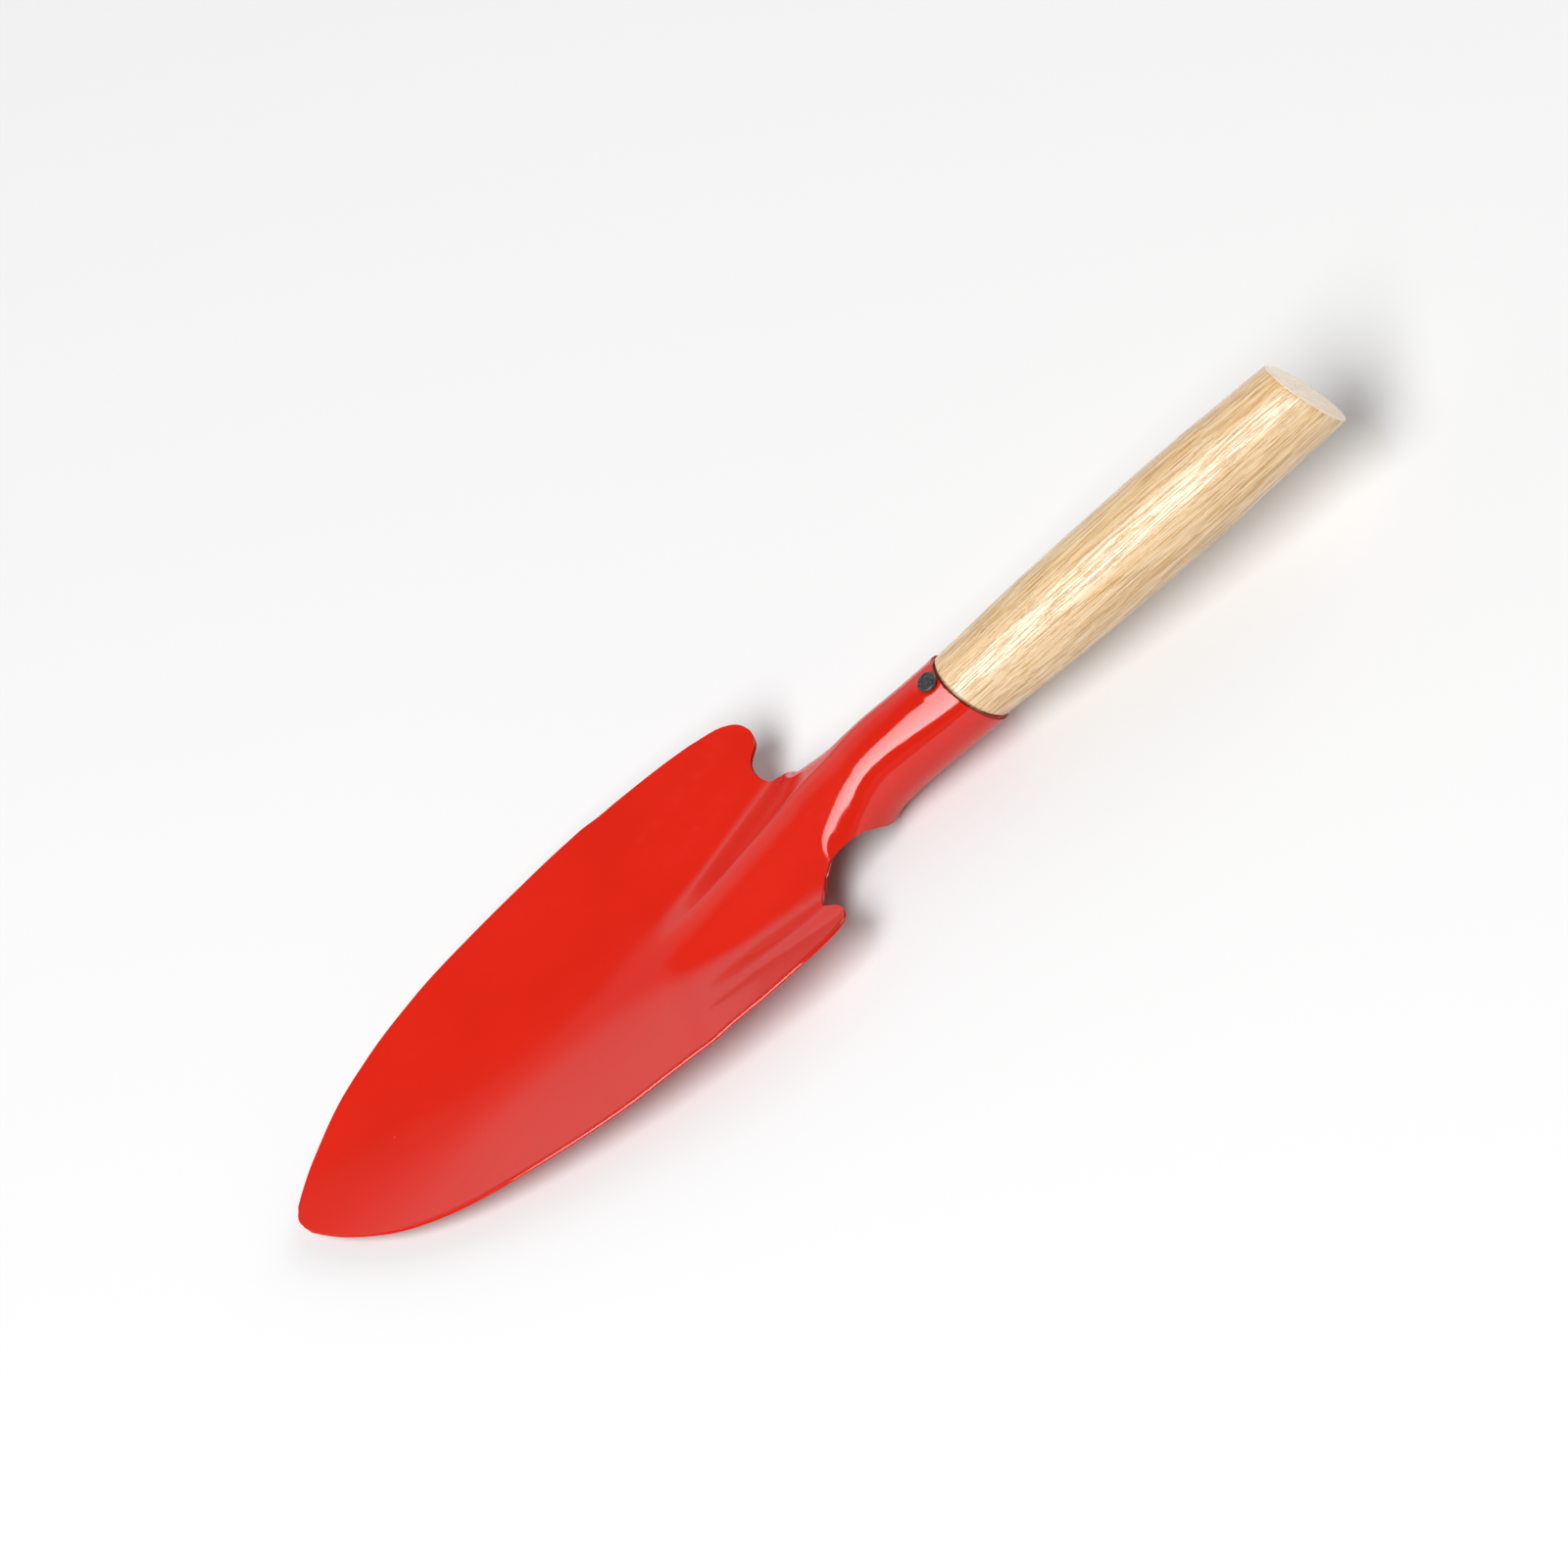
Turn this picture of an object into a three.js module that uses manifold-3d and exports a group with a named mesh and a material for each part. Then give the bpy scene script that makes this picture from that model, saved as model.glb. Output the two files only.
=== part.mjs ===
// Hand trowel: one pressed and rolled sheet-steel piece that is both blade and socket, a turned wooden
// handle driven into the socket, and the nail that pins them together.
//
// Each piece is shaped about the handle's axis, which runs along x: x = 0 at the tip of the blade and grows
// towards the butt, y is across and z is up. The whole trowel is then pitched to lie as it rests on a table,
// concave side up, on the belly of its blade and the underside of its socket. Millimetres.

import * as THREE from 'three';
import { mergeVertices } from 'three/addons/utils/BufferGeometryUtils.js';
import Module from 'manifold-3d';

const wasm = await Module();
wasm.setup();

// ---- driving dimensions ------------------------------------------------------------------------------

const SHEET_THICKNESS = 1;         // enamelled sheet
const COLLAR_X = 170.1;            // open end of the socket, on the axis
const COLLAR_SLANT = 2.1;          // the collar reaches this much further underneath and less on top
const FIT_GAP = 0.3;               // clearance between pieces that touch

const TIP_DEPTH = 1.05;            // length of the rounded tip
const NECK_X = 126.7;              // where the blade ends and the neck of the socket begins
const NECK_ARC = 15.8;             // half width of the sheet there, measured along its surface
const SHOULDER_ARC = 35.7;         // half width of the sheet at the outer corner of the ears
const RIDGE_ARC = 4;               // arc over which the crest of the ridge rounds into its flanks
const WALL_END_X = 132;            // the blade's walls have run out into the neck here
const CORNER_X = [128.5, 132.5];    // the corners between the neck's roof and its sides form between these
const CORNER_HALF = 1.6;           // half the arc over which the roof turns down into a side
const ROUND_X = [150, 166];        // the roof rounds off into the open end of the socket between these
const ROUND_ARC = [6, 11.5];       // the sides pass over into the round underside between these
const INNER_STEP_WIDTH = 3.4;
const INNER_STEP_SHARE = 0.8;      // slope of the inner step against that of the outer one
const LEDGE_OFFSET = 3;            // from the outer step in to the middle of the ledge
const LEDGE_WIDTH = 2.2;

const TENON_START_X = 147;
const TENON_CHAMFER = 1.5;
const SLANT_X = [156, 185];        // the handle's turned lines follow the collar's slant between these
const BUTT_FLAT_X = 241;           // and those of the butt face behind this
const BUTT_X = 257.8;              // centre of the butt face
const BUTT_CHAMFER = 0.6;
const BUTT_RIM = 3;                // the last part of the handle, all of it as askew as the butt face
const BUTT_SLOPE_Y = -0.2;         // how far the butt face runs on per millimetre across
const BUTT_SLOPE_Z = -0.17;        // and per millimetre of height

const NAIL_X = 165.6;
const NAIL_TURN = 7;               // degrees off the top of the socket, towards -y
const NAIL_HEAD_RADIUS = 2.1;
const NAIL_HEAD_HEIGHT = 0.8;
const NAIL_HEAD_CHAMFER = 0.35;
const NAIL_SHANK_RADIUS = 1.1;
const NAIL_LENGTH = 11;            // from the underside of the head to the point
const NAIL_POINT = 2;              // length of its taper
const NAIL_SEAT = 0.1;             // the head stands off the sheet by this much

const REST_PITCH = 6.19;           // degrees the butt is raised for the rest position
const REST_SHIFT = new THREE.Vector3(-129.06, 0, -6.69);

const NECK_COLUMNS = 9;            // mesh columns each side of the middle line, on the neck and socket
const EAR_COLUMNS = 11;            // further columns each side, on the blade only
const BLADE_ROWS = 28;
const SOCKET_ROWS = 15;
const SLOPE_STEPS = 28;
const NORMAL_STEP = 0.05;
const TENON_STATIONS = [TENON_START_X + TENON_CHAMFER, 156, 162];
const HANDLE_STATIONS = [178, 185, 193, 204, 216, 227, 235, 241, 248];
const HANDLE_SEGMENTS = 40;
const NAIL_SEGMENTS = 20;

// Half width of the blade, measured along its surface, from the rounded tip to the ears.
const BLADE_ARC = curve([
  [TIP_DEPTH, 3.4], [3.4, 6.5], [6.6, 10.2], [9.9, 13.3], [16.7, 18.8], [27.4, 24.6], [42.2, 29.7],
  [57.1, 32.9], [72.2, 34.9], [87.6, 35.9], [98, 36.25], [106, 36.4], [111, 36.15], [116, SHOULDER_ARC],
]);

// Rear edge of the blade, as arc across the sheet -> x: from the neck round the notch and over the ear.
const REAR_EDGE = curve([
  [NECK_ARC, NECK_X], [17.4, 125.3], [19.3, 124.3], [21.8, 123.6], [23.8, 124.1], [24.9, 125.1],
  [26.1, 126.4], [28, 127.3], [30.4, 127.3], [32.2, 126.5], [33.7, 124.6], [34.9, 121.2],
  [SHOULDER_ARC, 116],
]);

// Half width of the neck and socket along the surface. The edges meet in a seam underneath.
const SOCKET_ARC = curve([
  [NECK_X, NECK_ARC], [128.4, 14.7], [130.3, 14.1], [132.8, 13.8], [135.6, 14.2], [137.5, 15.1],
  [139, 16.8], [140.2, 19], [141.5, 21.4], [143, 23.2], [148, 25.3], [153, 25.8], [172, 26.3],
]);

// Height of the sheet's middle line over the handle's axis: belly of the blade, ridge, neck, socket.
const MIDDLE_HEIGHT = curve([
  [0, 10], [10, 8.6], [20, 7.1], [30, 5.35], [42, 3.15], [56, 1.15], [68, 0.35], [80, 0.1], [88, 0.25],
  [97, 0.9], [105, 2.05], [112, 3.3], [119, 4.5], [125, 5.6], [129, 6.35], [133, 6.85], [138, 7.4],
  [141, 7.85], [144, 8.3], [148, 8.65], [156, 8.65], [172, 8.55],
]);

// Blade: the slope of its walls in degrees, and the arc at which half of that slope is reached.
const WALL_SLOPE = curve([[0, 18], [60, 18], [80, 17], [88, 15.5], [100, 18], [116, 19.5]]);
const TROUGH_ARC = curve([
  [0, 24], [20, 18], [45, 8.5], [84, 8.5], [92, 9.1], [100, 11.1], [108, 13.2], [116, 15.3], [121, 16.5],
  [127, 18.4],
]);

// How abruptly the ridge's flank turns up into the wall there.
const TROUGH_SHARPNESS = curve([[66, 1.7], [74, 1.9], [82, 3], [90, 5.5], [100, 10.3], [108, 14]]);

// Two shallow steps pressed into each wall beside the flute: their arcs, and the slope they add in degrees.
const INNER_STEP_ARC = curve([
  [86, 16], [92, 17.2], [98, 18.3], [104, 18.8], [108, 19.6], [112, 20.9], [121, 23.2],
]);
const OUTER_STEP_ARC = curve([
  [86, 24], [92, 25.2], [98, 26.3], [104, 26.7], [108, 27.3], [112, 28], [121, 29.5],
]);
const OUTER_STEP_WIDTH = curve([[95, 1.3], [112, 2], [120, 2.6]]);
const STEP_SLOPE = curve([[80, 0], [84, 0.3], [88, 1.2], [92, 2.2], [96, 2.7], [104, 2.2], [116, 1.5]]);

// The ledge between the two steps: how much flatter it is than the wall, in degrees.
const LEDGE_DIP = curve([[96, 0], [104, 1.5], [112, 4.5], [120, 9], [127, 12]]);

// Flutes on both sides of the ridge: the slope of their flanks, in degrees.
const FLUTE_SLOPE = curve([
  [84, 0], [88, 1.5], [92, 9], [98, 14.5], [104, 18], [110, 19.5], [116, 20], [172, 20],
]);

// Neck and socket: a roof that turns down over a corner into round sides and a round underside.
const CORNER_ARC = curve([
  [127, 12.2], [132, 9.5], [135, 8], [138, 6.6], [141, 5.5], [144, 4.95], [150, 4.4], [172, 4.2],
]);
const SIDE_RADIUS = curve([
  [124, 14], [132, 12.4], [138, 9.7], [141, 8], [144, 7.2], [150, 7.1], [156, 7.5], [162, 8.1], [168, 8.6],
]);
const ROLL_RADIUS = curve([
  [132, 12.6], [138, 9.8], [141, 9], [144, 8.65], [148, 8.55], [153, 8.5], [172, 8.6],
]);

// Radius of the tenon inside the socket, then of the turned handle outside it.
const TENON_RADIUS = curve([[147, 7.1], [156, 7.2], [162, 7.5], [171, 7.7]]);
const HANDLE_RADIUS = curve([
  [170, 8.65], [178, 8.95], [185, 9.33], [193, 9.6], [204, 9.8], [216, 9.95], [227, 9.95], [235, 9.8],
  [240, 9.6], [248, 9.45], [258, 9.15],
]);

// ---- functions of one variable -----------------------------------------------------------------------

// A smooth function through the given [x, value] points, level beyond its ends.
function curve(points) {
  const last = points.length - 1;
  const slope = (i) => (points[i + 1][1] - points[i][1]) / (points[i + 1][0] - points[i][0]);
  const tangents = points.map(([x], i) => {
    if (i === 0) return slope(0);
    if (i === last) return slope(last - 1);
    const before = x - points[i - 1][0];
    const after = points[i + 1][0] - x;
    return (slope(i - 1) * after + slope(i) * before) / (before + after);
  });
  return (x) => {
    if (x <= points[0][0]) return points[0][1];
    if (x >= points[last][0]) return points[last][1];
    const i = points.findIndex(([from], k) => x >= from && x < points[k + 1][0]);
    const span = points[i + 1][0] - points[i][0];
    const rise = points[i + 1][1] - points[i][1];
    const t = (x - points[i][0]) / span;
    const bend = span * ((1 - t) * tangents[i] - t * tangents[i + 1]);
    return points[i][1] + rise * t * t * (3 - 2 * t) + bend * t * (1 - t);
  };
}

const ease = (x, from, to) => THREE.MathUtils.smoothstep(x, from, to);
const hump = (x, centre, width) => Math.exp(-(((x - centre) / width) ** 2));
const mix = THREE.MathUtils.lerp;
const radians = THREE.MathUtils.degToRad;
const degrees = THREE.MathUtils.radToDeg;

// ---- the sheet's middle surface ----------------------------------------------------------------------

// Slope of the blade's wall outside the flute, in degrees, at a station x and an arc length from the middle.
function wallSlope(x, arc) {
  const innerStep = INNER_STEP_SHARE * hump(arc, INNER_STEP_ARC(x), INNER_STEP_WIDTH);
  const outerStep = hump(arc, OUTER_STEP_ARC(x), OUTER_STEP_WIDTH(x));
  const ledge = hump(arc, OUTER_STEP_ARC(x) - LEDGE_OFFSET, LEDGE_WIDTH);
  return WALL_SLOPE(x) + STEP_SLOPE(x) * (innerStep + outerStep) - LEDGE_DIP(x) * ledge;
}

// Downward slope of the ridge, the neck and the rolled socket, in degrees.
function rolledSlope(x, arc) {
  const flank = FLUTE_SLOPE(x) * ease(arc, 0, RIDGE_ARC);
  const side = degrees(arc / mix(SIDE_RADIUS(x), ROLL_RADIUS(x), ease(arc, ...ROUND_ARC)));
  const roof = mix(flank, side, ease(x, ...ROUND_X));
  const corner = ease(arc, CORNER_ARC(x) - CORNER_HALF, CORNER_ARC(x) + CORNER_HALF);
  return mix(roof, side, corner * ease(x, ...CORNER_X));
}

function slopeAcross(x, arc) {
  const ratio = (arc / TROUGH_ARC(x)) ** TROUGH_SHARPNESS(x);
  const wallShare = ratio / (1 + ratio) * (1 - ease(x, NECK_X, WALL_END_X));
  return radians(mix(-rolledSlope(x, arc), wallSlope(x, arc), wallShare));
}

// Point of the middle surface: the slope is summed up from the middle line outwards.
function sheetPoint(x, arc) {
  const length = Math.abs(arc) / SLOPE_STEPS;
  let y = 0;
  let z = MIDDLE_HEIGHT(x);
  for (let i = 0; i < SLOPE_STEPS; i++) {
    const slope = slopeAcross(x, (i + 0.5) * length);
    y += Math.cos(slope) * length;
    z += Math.sin(slope) * length;
  }
  return new THREE.Vector3(x, Math.sign(arc) * y, z);
}

function sheetNormal(x, arc) {
  const along = sheetPoint(x + NORMAL_STEP, arc).sub(sheetPoint(x - NORMAL_STEP, arc));
  const across = sheetPoint(x, arc + NORMAL_STEP).sub(sheetPoint(x, arc - NORMAL_STEP));
  return along.cross(across).normalize();
}

// ---- the sheet's outline, row by row -----------------------------------------------------------------

// Columns from the middle line to one edge of the blade, as shares of its half width.
function columnShares() {
  const neckShare = NECK_ARC / SHOULDER_ARC;
  const shares = [];
  for (let i = 0; i <= NECK_COLUMNS; i++) shares.push(neckShare * i / NECK_COLUMNS);
  for (let i = 1; i <= EAR_COLUMNS; i++) {
    shares.push(1 - (1 - neckShare) * (1 - i / EAR_COLUMNS) ** 1.5);
  }
  return shares;
}

const mirrored = (shares) => [...shares.slice(1).reverse().map((share) => -share), ...shares];

function bladeRows() {
  const rows = [];
  for (let i = 0; i <= BLADE_ROWS; i++) {
    const t = i / BLADE_ROWS;
    const along = t - 0.08 * Math.sin(2 * Math.PI * t);
    rows.push(mirrored(columnShares()).map((share) => {
      const rear = REAR_EDGE(Math.abs(share) * SHOULDER_ARC);
      const x = mix(TIP_DEPTH * share * share, rear, along);
      return [x, share * BLADE_ARC(x)];
    }));
  }
  return rows;
}

function socketRows() {
  const rows = [];
  for (let i = 1; i <= SOCKET_ROWS; i++) {
    const t = (i / SOCKET_ROWS) ** 1.25;
    const row = [];
    for (let j = -NECK_COLUMNS; j <= NECK_COLUMNS; j++) {
      const share = j / NECK_COLUMNS;
      const turn = share * SOCKET_ARC(COLLAR_X) / ROLL_RADIUS(COLLAR_X);
      const x = mix(NECK_X, COLLAR_X - COLLAR_SLANT * Math.cos(turn), t);
      row.push([x, share * SOCKET_ARC(x)]);
    }
    rows.push(row);
  }
  return rows;
}

// ---- solids ------------------------------------------------------------------------------------------

function solidGeometry(positions, triangles) {
  const geometry = new THREE.BufferGeometry();
  geometry.setAttribute('position', new THREE.Float32BufferAttribute(positions, 3));
  geometry.setIndex(triangles);
  return geometry;
}

// The two patches share the columns of the neck. Both faces are offset from the middle surface, and a rim
// runs round the outline.
function sheetGeometry() {
  const rows = [...bladeRows(), ...socketRows()];
  const firstOf = [];
  const positions = [];
  let count = 0;
  for (const row of rows) {
    firstOf.push(count);
    for (const [x, arc] of row) {
      const point = sheetPoint(x, arc);
      const normal = sheetNormal(x, arc).multiplyScalar(SHEET_THICKNESS / 2);
      positions.push(...point.clone().add(normal), ...point.clone().sub(normal));
      count += 1;
    }
  }
  const bladeHalf = NECK_COLUMNS + EAR_COLUMNS;
  const vertex = (row, column) => firstOf[row] + column + (row > BLADE_ROWS ? NECK_COLUMNS : bladeHalf);
  const triangles = [];
  const top = (index) => 2 * index;
  const under = (index) => 2 * index + 1;
  const addQuad = (a, b, c, d) => {
    triangles.push(top(a), top(b), top(c), top(a), top(c), top(d));
    triangles.push(under(a), under(c), under(b), under(a), under(d), under(c));
  };
  for (let i = 0; i < rows.length - 1; i++) {
    const half = i < BLADE_ROWS ? bladeHalf : NECK_COLUMNS;
    for (let j = -half; j < half; j++) {
      addQuad(vertex(i, j), vertex(i + 1, j), vertex(i + 1, j + 1), vertex(i, j + 1));
    }
  }
  const rim = [];
  for (let j = -bladeHalf; j < bladeHalf; j++) rim.push(vertex(0, j));
  for (let i = 0; i < BLADE_ROWS; i++) rim.push(vertex(i, bladeHalf));
  for (let j = bladeHalf; j > NECK_COLUMNS; j--) rim.push(vertex(BLADE_ROWS, j));
  for (let i = BLADE_ROWS; i < rows.length - 1; i++) rim.push(vertex(i, NECK_COLUMNS));
  for (let j = NECK_COLUMNS; j > -NECK_COLUMNS; j--) rim.push(vertex(rows.length - 1, j));
  for (let i = rows.length - 1; i > BLADE_ROWS; i--) rim.push(vertex(i, -NECK_COLUMNS));
  for (let j = -NECK_COLUMNS; j > -bladeHalf; j--) rim.push(vertex(BLADE_ROWS, j));
  for (let i = BLADE_ROWS; i > 0; i--) rim.push(vertex(i, -bladeHalf));
  rim.forEach((a, i) => {
    const b = rim[(i + 1) % rim.length];
    triangles.push(top(a), top(b), under(b), top(a), under(b), under(a));
  });
  return solidGeometry(positions, triangles);
}

// A turned shape about the x axis, from [x, radius] pairs that start and end on the axis.
function turned(profile, segments) {
  const points = profile.map(([x, radius]) => new THREE.Vector2(radius, x));
  const geometry = new THREE.LatheGeometry(points, segments);
  geometry.rotateZ(-Math.PI / 2);
  return geometry;
}

// The tenon fits inside the socket, its shoulder follows the slant of the collar, and the butt is cut askew.
function handleGeometry() {
  const shoulderX = COLLAR_X + FIT_GAP;
  const profile = [[TENON_START_X, 0], [TENON_START_X, TENON_RADIUS(TENON_START_X) - TENON_CHAMFER]];
  for (const x of [...TENON_STATIONS, shoulderX]) profile.push([x, TENON_RADIUS(x)]);
  for (const x of [shoulderX, ...HANDLE_STATIONS, BUTT_X - BUTT_RIM]) profile.push([x, HANDLE_RADIUS(x)]);
  profile.push([BUTT_X - BUTT_CHAMFER, HANDLE_RADIUS(BUTT_X)]);
  profile.push([BUTT_X, HANDLE_RADIUS(BUTT_X) - BUTT_CHAMFER]);
  profile.push([BUTT_X, 0]);
  const geometry = turned(profile, HANDLE_SEGMENTS);
  const position = geometry.attributes.position;
  for (let i = 0; i < position.count; i++) {
    const [x, y, z] = [position.getX(i), position.getY(i), position.getZ(i)];
    const collar = ease(x, SLANT_X[0], shoulderX) * (1 - ease(x, shoulderX, SLANT_X[1]));
    const butt = ease(x, BUTT_FLAT_X, BUTT_X - BUTT_RIM);
    const slant = -collar * z * COLLAR_SLANT / ROLL_RADIUS(COLLAR_X);
    position.setX(i, x + slant + butt * (BUTT_SLOPE_Y * y + BUTT_SLOPE_Z * z));
  }
  return geometry;
}

// The nail lies on the x axis here, its point at negative x and the underside of its head at 0.
function nailGeometry() {
  return turned([
    [-NAIL_LENGTH, 0],
    [NAIL_POINT - NAIL_LENGTH, NAIL_SHANK_RADIUS],
    [0, NAIL_SHANK_RADIUS],
    [0, NAIL_HEAD_RADIUS],
    [NAIL_HEAD_HEIGHT - NAIL_HEAD_CHAMFER, NAIL_HEAD_RADIUS],
    [NAIL_HEAD_HEIGHT, NAIL_HEAD_RADIUS - NAIL_HEAD_CHAMFER],
    [NAIL_HEAD_HEIGHT, 0],
  ], NAIL_SEGMENTS);
}

// The hole for its shank, through the sheet and into the tenon.
function nailHoleGeometry() {
  const radius = NAIL_SHANK_RADIUS + FIT_GAP;
  const bottom = -NAIL_LENGTH - FIT_GAP;
  const top = SHEET_THICKNESS;
  return turned([[bottom, 0], [bottom, radius], [top, radius], [top, 0]], NAIL_SEGMENTS);
}

const nailPlace = new THREE.Matrix4()
  .makeTranslation(NAIL_X, 0, 0)
  .multiply(new THREE.Matrix4().makeRotationX(radians(NAIL_TURN)))
  .multiply(new THREE.Matrix4().makeTranslation(0, 0, ROLL_RADIUS(NAIL_X) + SHEET_THICKNESS / 2 + NAIL_SEAT))
  .multiply(new THREE.Matrix4().makeRotationY(-Math.PI / 2));

// ---- boolean cuts ------------------------------------------------------------------------------------

function toManifold(geometry) {
  const bare = geometry.clone();
  bare.deleteAttribute('normal');
  bare.deleteAttribute('uv');
  const merged = mergeVertices(bare, 1e-4);
  return new wasm.Manifold(new wasm.Mesh({
    numProp: 3,
    vertProperties: new Float32Array(merged.attributes.position.array),
    triVerts: new Uint32Array(merged.index.array),
  }));
}

function cut(geometry, tool) {
  const result = toManifold(geometry).subtract(toManifold(tool)).getMesh();
  return solidGeometry(Array.from(result.vertProperties), Array.from(result.triVerts));
}

// ---- the trowel --------------------------------------------------------------------------------------

function piece(name, geometry, look) {
  geometry.computeVertexNormals();
  const mesh = new THREE.Mesh(geometry, new THREE.MeshStandardMaterial(look));
  mesh.name = name;
  return mesh;
}

const ENAMEL = { color: 0xd2150f, roughness: 0.25, metalness: 0 };
const WOOD = { color: 0xdcbb85, roughness: 0.5, metalness: 0 };
const BLACK_STEEL = { color: 0x26282a, roughness: 0.45, metalness: 0.6 };

const nailHole = nailHoleGeometry().applyMatrix4(nailPlace);

const trowel = new THREE.Group();
trowel.add(
  piece('blade_and_socket', cut(sheetGeometry(), nailHole), ENAMEL),
  piece('handle', cut(handleGeometry(), nailHole), WOOD),
  piece('nail', nailGeometry().applyMatrix4(nailPlace), BLACK_STEEL),
);
trowel.rotation.y = -radians(REST_PITCH);
trowel.position.copy(REST_SHIFT);

export default trowel;
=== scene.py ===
"""Looks of the hand trowel: an enamelled pressed-steel blade with its socket, a turned wooden handle, a nail.

The pieces are shaped about the handle's axis in millimetres, x from the tip of the blade to the butt, and
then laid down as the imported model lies. Everything that Blender holds is in metres.
"""

import math

import bmesh
import bpy
import numpy as np
from mathutils import Matrix, Vector


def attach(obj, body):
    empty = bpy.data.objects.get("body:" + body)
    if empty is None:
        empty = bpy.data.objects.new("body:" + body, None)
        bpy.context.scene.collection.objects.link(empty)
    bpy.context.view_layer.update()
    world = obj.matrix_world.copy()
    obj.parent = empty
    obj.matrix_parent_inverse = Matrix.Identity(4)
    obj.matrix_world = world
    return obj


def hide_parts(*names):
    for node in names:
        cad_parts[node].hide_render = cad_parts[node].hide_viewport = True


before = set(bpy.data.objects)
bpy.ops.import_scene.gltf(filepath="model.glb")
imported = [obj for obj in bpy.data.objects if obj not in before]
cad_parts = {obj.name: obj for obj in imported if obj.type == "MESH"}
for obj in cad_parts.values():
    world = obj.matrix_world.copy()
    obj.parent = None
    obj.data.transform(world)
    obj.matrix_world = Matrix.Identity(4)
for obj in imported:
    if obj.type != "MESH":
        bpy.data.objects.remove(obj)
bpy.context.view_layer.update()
SEED = 7

# ---- driving dimensions, in millimetres about the handle's axis ---------------------------------------

REST_PITCH = math.radians(6.19)    # how far the butt is raised for the rest position
REST_SHIFT = np.array([-129.06, 0.0, -6.69])

SHEET_THICKNESS = 1.0
RIM_BULGE = 0.45                   # how far the rounded rim of the sheet stands out from its flat part
COLLAR_X = 170.1                   # open end of the socket, on the axis
COLLAR_SLANT = 2.1                 # the collar reaches this much further underneath and less on top
JOINT_GAP = 0.15                   # the handle's shoulder stands off the collar by this much

TIP_DEPTH = 1.05                   # length of the rounded tip
NECK_X = 126.7                     # where the blade ends and the neck of the socket begins
NECK_ARC = 15.8                    # half width of the sheet there, measured along its surface
SHOULDER_ARC = 35.7                # half width of the sheet at the outer corner of the ears
RIDGE_ARC = 4.0                    # arc over which the crest of the ridge rounds into its flanks
WALL_END_X = 132.0                 # the blade's walls have run out into the neck here
CORNER_X = (128.5, 132.5)          # the corners between the neck's roof and its sides form between these
CORNER_HALF = 1.6                  # half the arc over which the roof turns down into a side
ROUND_X = (150.0, 166.0)           # the roof rounds off into the open end of the socket between these
ROUND_ARC = (6.0, 11.5)            # the sides pass over into the round underside between these
INNER_STEP_WIDTH = 3.4
INNER_STEP_SHARE = 0.8             # slope of the inner step against that of the outer one
LEDGE_OFFSET = 3.0                 # from the outer step in to the middle of the ledge
LEDGE_WIDTH = 2.2

TENON_START_X = 147.0
TENON_CHAMFER = 1.5
TENON_RING = 2.0                   # width of the outermost ring of faces on its flat end
SHOULDER_EDGE = 0.35               # radius of the handle's edge at the collar
HANDLE_ENDS = (2.0, 2.2)           # its even stations keep this far from the shoulder and from the butt
UNEVEN_FROM = (3.0, 12.0)          # its unevenness sets in between these distances from the shoulder
SLANT_X = (156.0, 185.0)           # the handle's turned lines follow the collar's slant between these
BUTT_FLAT_X = 241.0                # and those of the butt face behind this
BUTT_X = 257.8                     # centre of the butt face
BUTT_RIM = 3.0                     # the last part of the handle, all of it as askew as the butt face
BUTT_CHAMFER = 0.55
BUTT_SLOPE_Y = -0.2                # how far the butt face runs on per millimetre across
BUTT_SLOPE_Z = -0.17               # and per millimetre of height
END_GRAIN_DEPTH = (0.3, 0.15)      # the end grain begins between these depths under the butt face

NAIL_X = 165.6
NAIL_TURN = math.radians(7)        # off the top of the socket, towards -y
NAIL_HEAD_RADIUS = 2.1
NAIL_HEAD_HEIGHT = 0.8
NAIL_UNDER_EDGE = 0.25             # radius of the edge under the head
NAIL_EDGE = 0.3                    # radius of the edge on top of it
NAIL_DOME = 0.02                   # its face stands this much above that edge
NAIL_SHANK_RADIUS = 1.1
NAIL_FLARE = 0.15                  # how much wider the shank is right under the head
NAIL_FLARE_LENGTH = 0.5
NAIL_LENGTH = 11.0                 # from the underside of the head to the point
NAIL_POINT = 2.4                   # length of its taper
NAIL_POINT_SHARE = 0.45            # radius halfway along the taper, against the shank's
NAIL_SEAT = 0.1                    # the head stands off the sheet by this much
NAIL_DENTS = 5                     # marks left by the hammer
NAIL_DENT_DEPTH = 0.045
NAIL_DENT_WIDTH = 0.6
NAIL_DENT_SPREAD = 1.3             # greatest distance of one from the middle, in either direction
LIP_HEIGHT = 0.2                   # of the enamel raised round the nail's head
LIP_OFFSET = 0.4
LIP_WIDTH = 0.34
DIMPLE_DEPTH = 0.22                # of the sheet beaten down by the nail
DIMPLE_WIDTH = 4.2


def curve(points):
    """A smooth function through the given (x, value) points, level beyond its ends."""
    xs, ys = np.array(points, float).T
    spans = np.diff(xs)
    slopes = np.diff(ys) / spans
    inner = (slopes[:-1] * spans[1:] + slopes[1:] * spans[:-1]) / (spans[1:] + spans[:-1])
    tangents = np.concatenate([slopes[:1], inner, slopes[-1:]])

    def value(x):
        x = np.clip(x, xs[0], xs[-1])
        i = np.clip(np.searchsorted(xs, x, side="right") - 1, 0, len(spans) - 1)
        t = (x - xs[i]) / spans[i]
        bend = spans[i] * ((1 - t) * tangents[i] - t * tangents[i + 1])
        return ys[i] + (ys[i + 1] - ys[i]) * t * t * (3 - 2 * t) + bend * t * (1 - t)

    return value


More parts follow.
